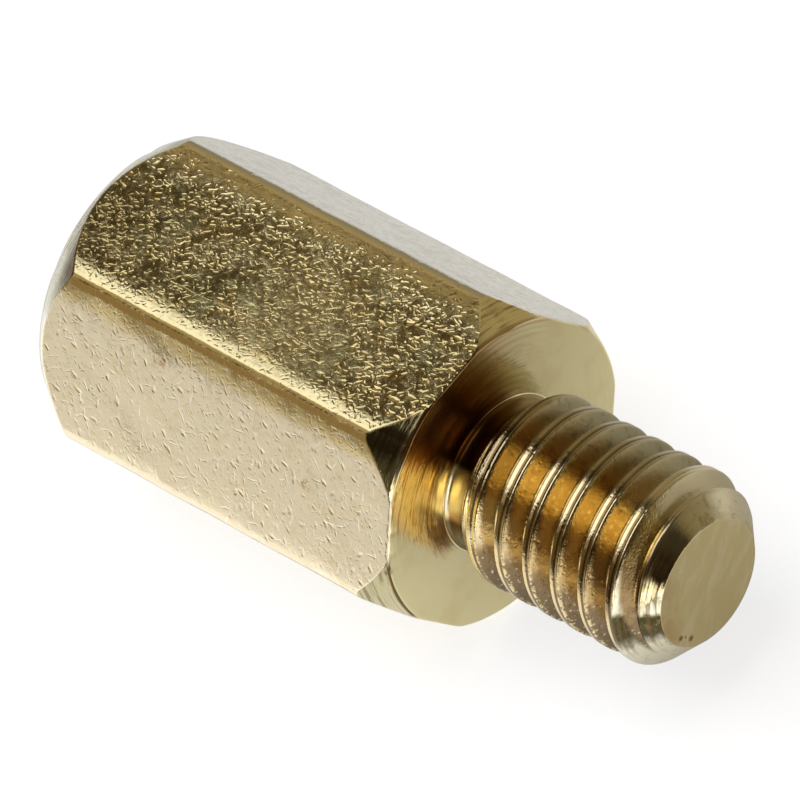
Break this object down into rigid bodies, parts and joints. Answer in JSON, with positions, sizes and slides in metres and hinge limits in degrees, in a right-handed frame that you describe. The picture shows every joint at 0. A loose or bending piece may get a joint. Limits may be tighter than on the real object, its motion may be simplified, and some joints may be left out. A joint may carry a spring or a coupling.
{
  "type": "hex standoff",
  "caption": "Brass hexagonal spacer with chamfered ends, a threaded stud at one end and a tapped blind hole at the other, for holding two boards apart.",
  "frame": {"origin": "on the axis, in the plane of the shoulder where the stud leaves the hexagon", "axes": "+X along the axis, towards the stud's tip; +Z square to the flat that faces up as it lies"},
  "size_m": [0.0093, 0.0046, 0.004],
  "materials": {
    "brass": "bright turned and tumbled brass, with small dents and turning marks"
  },
  "bodies": {
    "root": {"standoff": "brass"}
  },
  "joints": []
}
